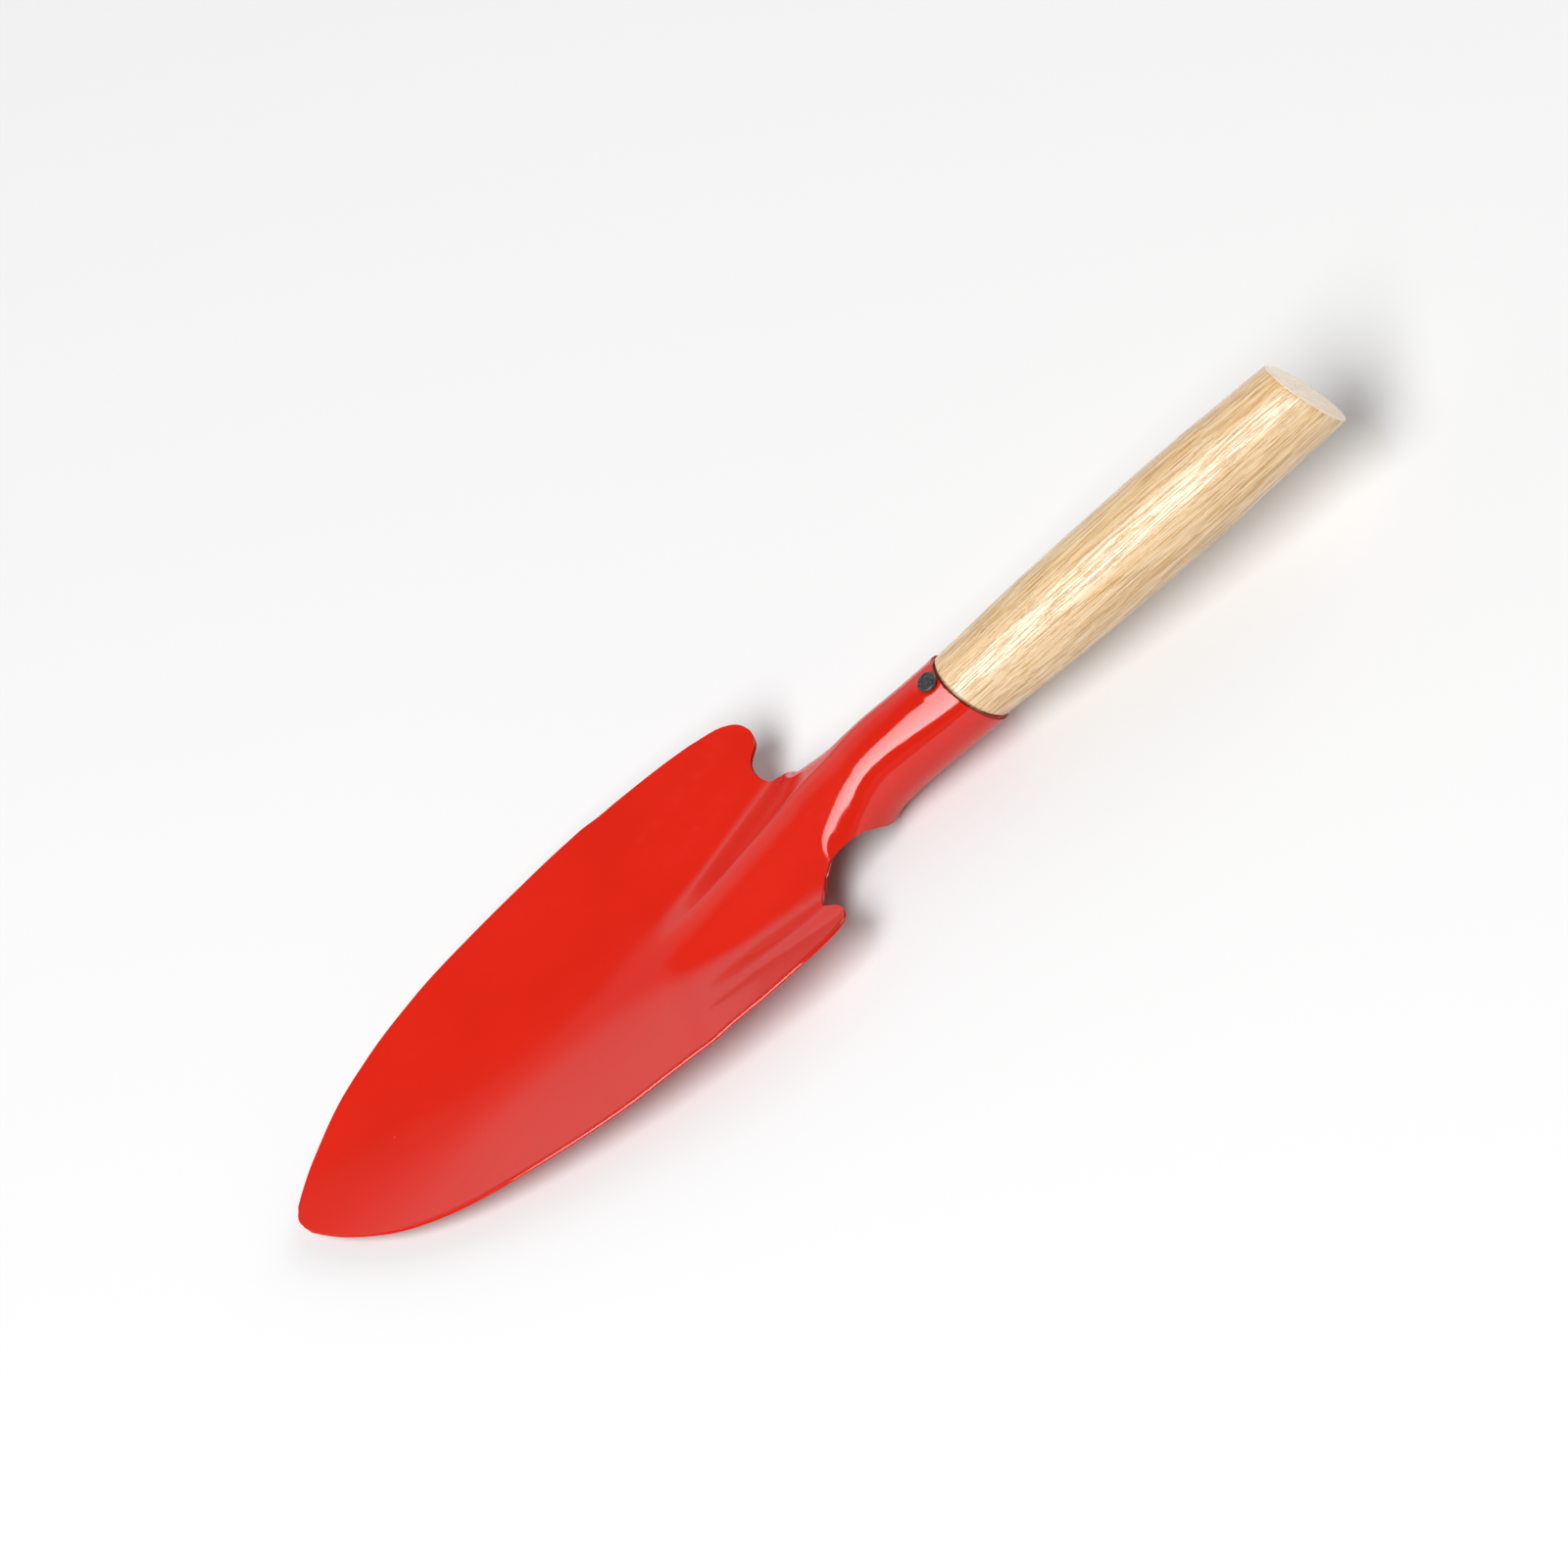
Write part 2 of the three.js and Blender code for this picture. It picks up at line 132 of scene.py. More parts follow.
# Half width of the blade, measured along its surface, from the rounded tip to the ears.
BLADE_ARC = curve([
    (TIP_DEPTH, 3.4), (3.4, 6.5), (6.6, 10.2), (9.9, 13.3), (16.7, 18.8), (27.4, 24.6), (42.2, 29.7),
    (57.1, 32.9), (72.2, 34.9), (87.6, 35.9), (98, 36.25), (106, 36.4), (111, 36.15), (116, SHOULDER_ARC),
])

# Rear edge of the blade, as arc across the sheet -> x: from the neck round the notch and over the ear.
REAR_EDGE = curve([
    (NECK_ARC, NECK_X), (17.4, 125.3), (19.3, 124.3), (21.8, 123.6), (23.8, 124.1), (24.9, 125.1),
    (26.1, 126.4), (28, 127.3), (30.4, 127.3), (32.2, 126.5), (33.7, 124.6), (34.9, 121.2),
    (SHOULDER_ARC, 116),
])

# Half width of the neck and socket along the surface. The edges meet in a seam underneath.
SOCKET_ARC = curve([
    (NECK_X, NECK_ARC), (128.4, 14.7), (130.3, 14.1), (132.8, 13.8), (135.6, 14.2), (137.5, 15.1),
    (139, 16.8), (140.2, 19), (141.5, 21.4), (143, 23.2), (148, 25.3), (153, 25.8), (172, 26.3),
])

# Height of the sheet's middle line over the handle's axis: belly of the blade, ridge, neck, socket.
MIDDLE_HEIGHT = curve([
    (0, 10), (10, 8.6), (20, 7.1), (30, 5.35), (42, 3.15), (56, 1.15), (68, 0.35), (80, 0.1), (88, 0.25),
    (97, 0.9), (105, 2.05), (112, 3.3), (119, 4.5), (125, 5.6), (129, 6.35), (133, 6.85), (138, 7.4),
    (141, 7.85), (144, 8.3), (148, 8.65), (156, 8.65), (172, 8.55),
])

# Blade: the slope of its walls in degrees, and the arc at which half of that slope is reached.
WALL_SLOPE = curve([(0, 18), (60, 18), (80, 17), (88, 15.5), (100, 18), (116, 19.5)])
TROUGH_ARC = curve([
    (0, 24), (20, 18), (45, 8.5), (84, 8.5), (92, 9.1), (100, 11.1), (108, 13.2), (116, 15.3), (121, 16.5),
    (127, 18.4),
])

# How abruptly the ridge's flank turns up into the wall there.
TROUGH_SHARPNESS = curve([(66, 1.7), (74, 1.9), (82, 3), (90, 5.5), (100, 10.3), (108, 14)])

# Two shallow steps pressed into each wall beside the flute: their arcs, and the slope they add in degrees.
INNER_STEP_ARC = curve([
    (86, 16), (92, 17.2), (98, 18.3), (104, 18.8), (108, 19.6), (112, 20.9), (121, 23.2),
])
OUTER_STEP_ARC = curve([
    (86, 24), (92, 25.2), (98, 26.3), (104, 26.7), (108, 27.3), (112, 28), (121, 29.5),
])
OUTER_STEP_WIDTH = curve([(95, 1.3), (112, 2), (120, 2.6)])
STEP_SLOPE = curve([(80, 0), (84, 0.3), (88, 1.2), (92, 2.2), (96, 2.7), (104, 2.2), (116, 1.5)])

# The ledge between the two steps: how much flatter it is than the wall, in degrees.
LEDGE_DIP = curve([(96, 0), (104, 1.5), (112, 4.5), (120, 9), (127, 12)])

# Flutes on both sides of the ridge: the slope of their flanks, in degrees.
FLUTE_SLOPE = curve([(84, 0), (88, 1.5), (92, 9), (98, 14.5), (104, 18), (110, 19.5), (116, 20), (172, 20)])

# Neck and socket: a roof that turns down over a corner into round sides and a round underside.
CORNER_ARC = curve([
    (127, 12.2), (132, 9.5), (135, 8), (138, 6.6), (141, 5.5), (144, 4.95), (150, 4.4), (172, 4.2),
])
SIDE_RADIUS = curve([
    (124, 14), (132, 12.4), (138, 9.7), (141, 8), (144, 7.2), (150, 7.1), (156, 7.5), (162, 8.1), (168, 8.6),
])
ROLL_RADIUS = curve([(132, 12.6), (138, 9.8), (141, 9), (144, 8.65), (148, 8.55), (153, 8.5), (172, 8.6)])

TENON_RADIUS = curve([(147, 7.1), (156, 7.2), (162, 7.5), (171, 7.7)])
HANDLE_RADIUS = curve([
    (170, 8.65), (178, 8.95), (185, 9.33), (193, 9.6), (204, 9.8), (216, 9.95), (227, 9.95), (235, 9.8),
    (240, 9.6), (248, 9.45), (258, 9.15),
])


def ease(x, start, end):
    t = np.clip((x - start) / (end - start), 0, 1)
    return t * t * (3 - 2 * t)


def mix(a, b, share):
    return a + (b - a) * share


def hump(x, centre, width):
    return np.exp(-(((x - centre) / width) ** 2))


def lay_down(points):
    """From millimetres about the handle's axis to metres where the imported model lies."""
    turn = np.array(Matrix.Rotation(-REST_PITCH, 3, "Y"))
    return (np.asarray(points, float) @ turn.T + REST_SHIFT) / 1000


def direction(vector):
    """A direction about the handle's axis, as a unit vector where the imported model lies."""
    return Matrix.Rotation(-REST_PITCH, 3, "Y") @ Vector(vector).normalized()


# ---- camera: from the trowel's side, tilted over so that the trowel points up to the right --------------

VIEW_BACK = (0.2242, -0.7174, 0.6597)        # from the trowel to the camera
VIEW_TARGET = (131.4, 0, 12.98)              # what the camera looks at
TROWEL_SLANT = math.atan2(0.659, 0.752)      # angle of the handle's axis in the picture
VIEW_WIDTH = 0.30303                         # what the picture spans at the trowel, in metres
VIEW_DISTANCE = 4.0                          # in metres
SENSOR = 36.0                                # in millimetres


def make_camera():
    back = direction(VIEW_BACK)
    axis = direction((1, 0, 0))
    along = (axis - axis.dot(back) * back).normalized()
    across = back.cross(along)
    right = math.cos(TROWEL_SLANT) * along - math.sin(TROWEL_SLANT) * across
    up = math.sin(TROWEL_SLANT) * along + math.cos(TROWEL_SLANT) * across
    data = bpy.data.cameras.new("camera")
    data.sensor_width = SENSOR
    data.lens = SENSOR * VIEW_DISTANCE / VIEW_WIDTH
    data.clip_end = 100
    camera = bpy.data.objects.new("camera", data)
    bpy.context.scene.collection.objects.link(camera)
    place = Vector(lay_down([VIEW_TARGET])[0]) + back * VIEW_DISTANCE
    turn = Matrix((right, up, back)).transposed().to_4x4()
    camera.matrix_world = Matrix.Translation(place) @ turn
    bpy.context.scene.camera = camera


# ---- light: one long softbox overhead, and a pale surround that darkens above --------------------------

SOFTBOX_DISTANCE = 3.0                       # in metres, like the other sizes of the stage
SOFTBOX_FROM, SOFTBOX_TO = -1.0, 54.5        # degrees from upright, towards the camera's side
SOFTBOX_LEAN_FROM, SOFTBOX_LEAN_TO = 1.0, 28.5   # degrees from upright, towards the tip
SOFTBOX_RADIANCE = (6.0, 11.5)               # far edge, near edge
SOFTBOX_AIM = (0, 0, 0.02)                   # it faces this point, in metres
FLOOR_HALF = 6.0
FLOOR_GREY = (0.76, 0.76, 0.76, 1)

# Radiance of the surround by the sine of the height over the horizon: beyond the trowel, behind the camera.
SURROUND_BEYOND = [
    (0, 0.25), (0.075, 0.28), (0.115, 0.58), (0.39, 0.66), (0.5, 0.55), (0.64, 0.38), (0.77, 0.12),
    (0.9, 0.07),
]
SURROUND_BEHIND = [(0, 0.22), (0.2, 0.26), (0.235, 0.04), (1, 0.03)]
SURROUND_BLEND = 0.15                        # half the width over which the two pass into each other
SURROUND_AT_BUTT = 5.8                       # how much brighter it is past the butt of the handle
SURROUND_BUTT_FROM = 0.3                     # cosine of the angle from +x where that begins


def make_softbox():
    side = math.radians((SOFTBOX_FROM + SOFTBOX_TO) / 2)
    lean = math.radians((SOFTBOX_LEAN_FROM + SOFTBOX_LEAN_TO) / 2)
    toward = direction((-math.sin(lean), -math.sin(side) * math.cos(lean), math.cos(side) * math.cos(lean)))
    width = 2 * SOFTBOX_DISTANCE * math.tan(math.radians(SOFTBOX_TO - SOFTBOX_FROM) / 2)
    length = 2 * SOFTBOX_DISTANCE * math.tan(math.radians(SOFTBOX_LEAN_TO - SOFTBOX_LEAN_FROM) / 2)
    data = bpy.data.lights.new("softbox", "AREA")
    data.shape = "RECTANGLE"
    data.size = length
    data.size_y = width
    data.energy = math.pi * length * width
    data.use_nodes = True
    nodes, links = data.node_tree.nodes, data.node_tree.links
    emission = nodes["Emission"]
    geometry = nodes.new("ShaderNodeNewGeometry")
    split = nodes.new("ShaderNodeSeparateXYZ")
    spread = nodes.new("ShaderNodeMapRange")
    spread.inputs["To Min"].default_value = SOFTBOX_RADIANCE[1]
    spread.inputs["To Max"].default_value = SOFTBOX_RADIANCE[0]
    links.new(geometry.outputs["Parametric"], split.inputs[0])
    links.new(split.outputs["Y"], spread.inputs["Value"])
    links.new(spread.outputs[0], emission.inputs["Strength"])
    light = bpy.data.objects.new("softbox", data)
    bpy.context.scene.collection.objects.link(light)
    light.visible_camera = False
    along = direction((1, 0, 0))
    along = (along - along.dot(toward) * toward).normalized()
    across = toward.cross(along)
    turn = Matrix((along, across, toward)).transposed().to_4x4()
    light.matrix_world = Matrix.Translation(Vector(SOFTBOX_AIM) + toward * SOFTBOX_DISTANCE) @ turn


def make_surround():
    world = bpy.data.worlds.new("surround")
    bpy.context.scene.world = world
    world.use_nodes = True
    nodes, links = world.node_tree.nodes, world.node_tree.links
    place = nodes.new("ShaderNodeTexCoord")
    split = nodes.new("ShaderNodeSeparateXYZ")
    links.new(place.outputs["Generated"], split.inputs[0])

    def ramp(stops):
        made = nodes.new("ShaderNodeValToRGB")
        links.new(split.outputs["Z"], made.inputs[0])
        elements = made.color_ramp.elements
        while len(elements) < len(stops):
            elements.new(0.5)
        for element, (height, grey) in zip(elements, stops):
            element.position = height
            element.color = (grey, grey, grey, 1)
        return made.outputs[0]

    beyond = nodes.new("ShaderNodeMapRange")
    beyond.inputs["From Min"].default_value = -SURROUND_BLEND
    beyond.inputs["From Max"].default_value = SURROUND_BLEND
    links.new(split.outputs["Y"], beyond.inputs["Value"])
    both = nodes.new("ShaderNodeMix")
    both.data_type = "RGBA"
    links.new(beyond.outputs[0], both.inputs["Factor"])
    links.new(ramp(SURROUND_BEHIND), both.inputs["A"])
    links.new(ramp(SURROUND_BEYOND), both.inputs["B"])
    links.new(both.outputs["Result"], nodes["Background"].inputs["Color"])
    fill = nodes.new("ShaderNodeMapRange")
    fill.inputs["From Min"].default_value = SURROUND_BUTT_FROM
    fill.inputs["To Min"].default_value = 1.0
    fill.inputs["To Max"].default_value = SURROUND_AT_BUTT
    links.new(split.outputs["X"], fill.inputs["Value"])
    links.new(fill.outputs[0], nodes["Background"].inputs["Strength"])


def make_floor():
    mesh = bpy.data.meshes.new("floor")
    h = FLOOR_HALF
    mesh.from_pydata([(-h, -h, 0), (h, -h, 0), (h, h, 0), (-h, h, 0)], [], [(0, 1, 2, 3)])
    floor = bpy.data.objects.new("floor", mesh)
    bpy.context.scene.collection.objects.link(floor)
    material = bpy.data.materials.new("floor_paper")
    material.use_nodes = True
    shader = material.node_tree.nodes["Principled BSDF"]
    shader.inputs["Base Color"].default_value = FLOOR_GREY
    shader.inputs["Roughness"].default_value = 0.9
    shader.inputs["Specular IOR Level"].default_value = 0.1
    mesh.materials.append(material)


# ---- the sheet ----------------------------------------------------------------------------------------

NECK_COLUMNS = 34
EAR_COLUMNS = 34
BLADE_ROWS = 130
SOCKET_ROWS = 84
SLOPE_STEPS = 72                   # steps in which the slope is summed up across the sheet
NORMAL_STEP = 0.05                 # the sheet's normals are measured over twice this length
RIM_STEPS = 7                      # faces over the thickness of the rim
NECK_CROWDING = 0.09               # draws the neck's columns together on its inner half
EAR_CROWDING = 1.25                # more than 1 draws the ears' columns together towards their edge
ROW_CROWDING = 0.07                # draws the blade's rows together towards the tip and the ears
SETTLING_SHARE = 0.1               # the socket's rows reach their own width after this share of its length


def wall_slope(x, arc):
    """Slope of the blade's wall outside the flute, in degrees."""
    inner_step = INNER_STEP_SHARE * hump(arc, INNER_STEP_ARC(x), INNER_STEP_WIDTH)
    outer_step = hump(arc, OUTER_STEP_ARC(x), OUTER_STEP_WIDTH(x))
    ledge = hump(arc, OUTER_STEP_ARC(x) - LEDGE_OFFSET, LEDGE_WIDTH)
    return WALL_SLOPE(x) + STEP_SLOPE(x) * (inner_step + outer_step) - LEDGE_DIP(x) * ledge


def rolled_slope(x, arc):
    """Downward slope of the ridge, the neck and the rolled socket, in degrees."""
    flank = FLUTE_SLOPE(x) * ease(arc, 0, RIDGE_ARC)
    side = np.degrees(arc / mix(SIDE_RADIUS(x), ROLL_RADIUS(x), ease(arc, *ROUND_ARC)))
    roof = mix(flank, side, ease(x, *ROUND_X))
    corner = ease(arc, CORNER_ARC(x) - CORNER_HALF, CORNER_ARC(x) + CORNER_HALF)
    return mix(roof, side, corner * ease(x, *CORNER_X))


def slope_across(x, arc):
    ratio = (arc / TROUGH_ARC(x)) ** TROUGH_SHARPNESS(x)
    wall_share = ratio / (1 + ratio) * (1 - ease(x, NECK_X, WALL_END_X))
    return np.radians(mix(-rolled_slope(x, arc), wall_slope(x, arc), wall_share))


def sheet_points(x, arc):
    """Points of the sheet's middle surface, the slope summed up from the middle line outwards."""
    x = x[..., None]
    length = np.abs(arc)[..., None]
    arcs = (np.arange(SLOPE_STEPS) + 0.5) / SLOPE_STEPS * length
    slope = slope_across(x, arcs)
    step = length[..., 0] / SLOPE_STEPS
    y = np.sign(arc) * np.cos(slope).sum(-1) * step
    z = MIDDLE_HEIGHT(x[..., 0]) + np.sin(slope).sum(-1) * step
    return np.stack([x[..., 0], y, z], -1)


def unit(vectors):
    return vectors / np.linalg.norm(vectors, axis=-1, keepdims=True)


def sheet_normals(x, arc):
    along = sheet_points(x + NORMAL_STEP, arc) - sheet_points(x - NORMAL_STEP, arc)
    across = sheet_points(x, arc + NORMAL_STEP) - sheet_points(x, arc - NORMAL_STEP)
    return unit(np.cross(along, across))


def column_shares():
    """Places of the columns from the middle line to one edge, as shares of the blade's half width."""
    neck_share = NECK_ARC / SHOULDER_ARC
    t = np.arange(NECK_COLUMNS + 1) / NECK_COLUMNS
    neck = neck_share * (t - NECK_CROWDING * np.sin(np.pi * t) ** 2)
    t = np.arange(1, EAR_COLUMNS + 1) / EAR_COLUMNS
    return np.concatenate([neck, 1 - (1 - neck_share) * (1 - t) ** EAR_CROWDING])


def sheet_rows():
    """Each row is a pair of arrays, x and arc, across the sheet: first the blade's, then the socket's."""
    shares = column_shares()
    shares = np.concatenate([-shares[:0:-1], shares])
    rows = []
    for t in np.linspace(0, 1, BLADE_ROWS + 1):
        along = t - ROW_CROWDING * math.sin(2 * math.pi * t)
        front = RIM_BULGE + TIP_DEPTH * shares ** 2
        rear = REAR_EDGE(np.abs(shares) * SHOULDER_ARC) - RIM_BULGE
        x = front + (rear - front) * along
        rows.append((x, shares * (BLADE_ARC(x) - RIM_BULGE)))
    neck = shares[EAR_COLUMNS:-EAR_COLUMNS] / (NECK_ARC / SHOULDER_ARC)
    turn = neck * SOCKET_ARC(COLLAR_X) / ROLL_RADIUS(COLLAR_X)
    end = COLLAR_X - COLLAR_SLANT * np.cos(turn) - RIM_BULGE
    start_x, start_arc = (a[EAR_COLUMNS:-EAR_COLUMNS] for a in rows[-1])
    first_shift = np.abs(start_arc[-1]) - SOCKET_ARC(start_x[-1])
    for i in range(1, SOCKET_ROWS + 1):
        t = i / SOCKET_ROWS
        x = start_x + (end - start_x) * t
        settled = ease(np.array(t), 0, SETTLING_SHARE)
        half = SOCKET_ARC(x) - RIM_BULGE * settled + first_shift * (1 - settled)
        rows.append((x, neck * half))
    return rows


def rim_loop(counts):
    """Vertex numbers round the outline, from the tip along the +y side and back."""
    firsts = np.concatenate([[0], np.cumsum(counts)])[:-1]
    last_blade, last = BLADE_ROWS, BLADE_ROWS + SOCKET_ROWS
    wide = 2 * (NECK_COLUMNS + EAR_COLUMNS)
    slim = 2 * NECK_COLUMNS
    loop = [firsts[0] + j for j in range(wide)]
    loop += [firsts[i] + wide for i in range(last_blade)]
    loop += [firsts[last_blade] + j for j in range(wide, wide - EAR_COLUMNS, -1)]
    loop += [firsts[last_blade] + wide - EAR_COLUMNS]
    loop += [firsts[i] + slim for i in range(last_blade + 1, last)]
    loop += [firsts[last] + j for j in range(slim, 0, -1)]
    loop += [firsts[i] for i in range(last, last_blade, -1)]
    loop += [firsts[last_blade] + j for j in range(EAR_COLUMNS, 0, -1)]
    loop += [firsts[i] for i in range(last_blade, 0, -1)]
    return np.array(loop)


def nail_matrix():
    """The nail's frame: its head lies on the socket, with +z out of the socket."""
    height = float(ROLL_RADIUS(NAIL_X)) + SHEET_THICKNESS / 2 + NAIL_SEAT
    turn = Matrix.Rotation(NAIL_TURN, 4, "X")
    return Matrix.Translation((NAIL_X, 0, 0)) @ turn @ Matrix.Translation((0, 0, height))


def nail_relief(points):
    """Height that the nail leaves in the enamelled surface: a shallow dimple and a raised lip of enamel."""
    centre = np.array(nail_matrix().translation)
    radius = np.linalg.norm(points - centre, axis=-1)
    lip = LIP_HEIGHT * hump(radius, NAIL_HEAD_RADIUS + LIP_OFFSET, LIP_WIDTH)
    return lip - DIMPLE_DEPTH * hump(radius, 0, DIMPLE_WIDTH)


def surface_faces(counts):
    """Faces of the sheet's top, and of its underside, whose points are numbered after all of the top's."""
    number = sum(counts)
    faces = []
    first = 0
    for wide, following in zip(counts, counts[1:]):
        skip = EAR_COLUMNS if following < wide else 0
        for j in range(min(wide, following) - 1):
            a, b = first + skip + j, first + wide + j
            faces.append((a, b, b + 1, a + 1))
            faces.append((number + a, number + a + 1, number + b + 1, number + b))
        first += wide
    return faces


def rim_points(middle, normals, loop):
    """The rounded rim: one ring of points after another, from the top over the edge to the underside."""
    ahead, behind = np.roll(loop, -1), np.roll(loop, 1)
    tangent = unit(middle[ahead] - middle[behind])
    outward = unit(np.cross(tangent, normals[loop]))
    rings = []
    for angle in np.arange(1, RIM_STEPS) * math.pi / RIM_STEPS:
        upward = normals[loop] * SHEET_THICKNESS / 2 * math.cos(angle)
        rings.append(middle[loop] + upward + outward * RIM_BULGE * math.sin(angle))
    return rings


def make_sheet():
    rows = sheet_rows()
    counts = [len(row[0]) for row in rows]
    x = np.concatenate([row[0] for row in rows])
    arc = np.concatenate([row[1] for row in rows])
    middle = sheet_points(x, arc)
    normals = sheet_normals(x, arc)
    top = middle + normals * SHEET_THICKNESS / 2
    top += normals * nail_relief(top)[:, None]
    under = middle - normals * SHEET_THICKNESS / 2
    loop = rim_loop(counts)
    edge = rim_points(middle, normals, loop)
    first = 2 * len(middle)
    rings = [loop]
    rings += [np.arange(len(loop)) + first + k * len(loop) for k in range(len(edge))]
    rings.append(loop + len(middle))
    faces = surface_faces(counts)
    for upper, lower in zip(rings, rings[1:]):
        for i in range(len(loop)):
            j = (i + 1) % len(loop)
            faces.append((upper[j], upper[i], lower[i], lower[j]))
    return new_piece("blade_and_socket_enamelled", np.concatenate([top, under, *edge]), faces)


# ---- pieces -------------------------------------------------------------------------------------------

def new_piece(name, points, faces, smooth_angle=50):
    mesh = bpy.data.meshes.new(name)
    mesh.from_pydata([tuple(p) for p in lay_down(points)], [], [tuple(int(v) for v in f) for f in faces])
    mesh.validate()
    tidy = bmesh.new()
    tidy.from_mesh(mesh)
    bmesh.ops.recalc_face_normals(tidy, faces=tidy.faces)
    tidy.to_mesh(mesh)
    tidy.free()
    mesh.shade_smooth()
    mesh.set_sharp_from_angle(angle=math.radians(smooth_angle))
    piece = bpy.data.objects.new(name, mesh)
    bpy.context.scene.collection.objects.link(piece)
    return piece


def turned(profile, segments):
    """Points and faces of a closed turned shape about the x axis, from (x, radius) pairs that start and end
    on the axis."""
    points = [(profile[0][0], 0, 0)]
    for x, radius in profile[1:-1]:
        for k in range(segments):
            angle = 2 * math.pi * k / segments
            points.append((x, -radius * math.sin(angle), radius * math.cos(angle)))
    points.append((profile[-1][0], 0, 0))
    faces = [(0, 1 + (k + 1) % segments, 1 + k) for k in range(segments)]
    rings = len(profile) - 2
    for i in range(rings - 1):
        for k in range(segments):
            a, b = 1 + i * segments + k, 1 + i * segments + (k + 1) % segments
            faces.append((a, b, b + segments, a + segments))
    last = len(points) - 1
    base = 1 + (rings - 1) * segments
    faces += [(base + k, base + (k + 1) % segments, last) for k in range(segments)]
    return np.array(points, float), faces


HANDLE_SEGMENTS = 120
TENON_STATIONS = 9
HANDLE_STATIONS = 44
NAIL_SEGMENTS = 48


def unevenness(x, angle):
    """How far the hand-finished handle stands off a true turned shape: slightly three-sided and oval, and
    twisting along its length."""
    three_sided = 0.035 * np.sin(3 * angle + 0.07 * x)
    oval = 0.03 * np.sin(2 * angle - 0.045 * x + 1)
    return three_sided + oval


def make_handle():
    shoulder = COLLAR_X + JOINT_GAP
    tip = float(TENON_RADIUS(TENON_START_X)) - TENON_CHAMFER
    profile = [(TENON_START_X, 0), (TENON_START_X, tip - TENON_RING), (TENON_START_X, tip)]
    stations = np.linspace(TENON_START_X + TENON_CHAMFER, shoulder, TENON_STATIONS)
    profile += [(x, float(TENON_RADIUS(x))) for x in stations]
    for angle in np.radians([0, 22, 45, 68, 90]):
        x = shoulder + SHOULDER_EDGE * (1 - math.cos(angle))
        profile.append((x, float(HANDLE_RADIUS(shoulder)) - SHOULDER_EDGE * (1 - math.sin(angle))))
    stations = np.linspace(shoulder + HANDLE_ENDS[0], BUTT_X - HANDLE_ENDS[1], HANDLE_STATIONS)
    profile += [(x, float(HANDLE_RADIUS(x))) for x in stations]
    radius = float(HANDLE_RADIUS(BUTT_X))
    for angle in np.radians([0, 18, 36, 54, 72, 90]):
        x = BUTT_X - BUTT_CHAMFER * (1 - math.sin(angle))
        profile.append((x, radius - BUTT_CHAMFER * (1 - math.cos(angle))))
    profile += [(BUTT_X, radius * share) for share in (0.8, 0.55, 0.3, 0.12)]
    profile.append((BUTT_X, 0))
    points, faces = turned(profile, HANDLE_SEGMENTS)
    x, y, z = points.T
    angle = np.arctan2(y, z)
    uneven = unevenness(x, angle) * ease(x - shoulder, *UNEVEN_FROM)
    points[:, 1] += uneven * np.sin(angle)
    points[:, 2] += uneven * np.cos(angle)
    collar = ease(x, SLANT_X[0], shoulder) * (1 - ease(x, shoulder, SLANT_X[1]))
    butt = ease(x, BUTT_FLAT_X, BUTT_X - BUTT_RIM)
    points[:, 0] += butt * (BUTT_SLOPE_Y * y + BUTT_SLOPE_Z * z)
    points[:, 0] -= collar * z * COLLAR_SLANT / float(ROLL_RADIUS(COLLAR_X))
    return new_piece("handle_turned_wood", points, faces, smooth_angle=40)


def make_nail():
    """A flat head with rounded edges and a few dents from the hammer, and a tapered point."""
    head, tall = NAIL_HEAD_RADIUS, NAIL_HEAD_HEIGHT
    profile = [(-NAIL_LENGTH, 0), (NAIL_POINT / 2 - NAIL_LENGTH, NAIL_POINT_SHARE * NAIL_SHANK_RADIUS)]
    profile += [(NAIL_POINT - NAIL_LENGTH, NAIL_SHANK_RADIUS), (-NAIL_FLARE_LENGTH, NAIL_SHANK_RADIUS)]
    profile += [(0, NAIL_SHANK_RADIUS + NAIL_FLARE), (0, head - NAIL_UNDER_EDGE)]
    for angle in np.radians([20, 45, 70, 90]):
        x = NAIL_UNDER_EDGE * (1 - math.cos(angle))
        profile.append((x, head - NAIL_UNDER_EDGE + NAIL_UNDER_EDGE * math.sin(angle)))
    for angle in np.radians([0, 25, 50, 75]):
        x = tall - NAIL_DOME - NAIL_EDGE * (1 - math.sin(angle))
        profile.append((x, head - NAIL_EDGE * (1 - math.cos(angle))))
    profile += [(tall, head * share) for share in (0.78, 0.6, 0.4, 0.2)]
    profile.append((tall, 0))
    points, faces = turned(profile, NAIL_SEGMENTS)
    face_on = ease(points[:, 0], tall - NAIL_EDGE, tall)
    spread = NAIL_DENT_SPREAD
    dents = np.random.default_rng(SEED).uniform(-spread, spread, (NAIL_DENTS, 2))
    for dy, dz in dents:
        distance = np.hypot(points[:, 1] - dy, points[:, 2] - dz)
        points[:, 0] -= NAIL_DENT_DEPTH * face_on * hump(distance, 0, NAIL_DENT_WIDTH)
    upright = np.stack([-points[:, 2], points[:, 1], points[:, 0]], -1)
    place = nail_matrix()
    placed = upright @ np.array(place.to_3x3()).T + np.array(place.translation)
    return new_piece("nail_black_steel", placed, faces, smooth_angle=35)


# ---- materials ----------------------------------------------------------------------------------------

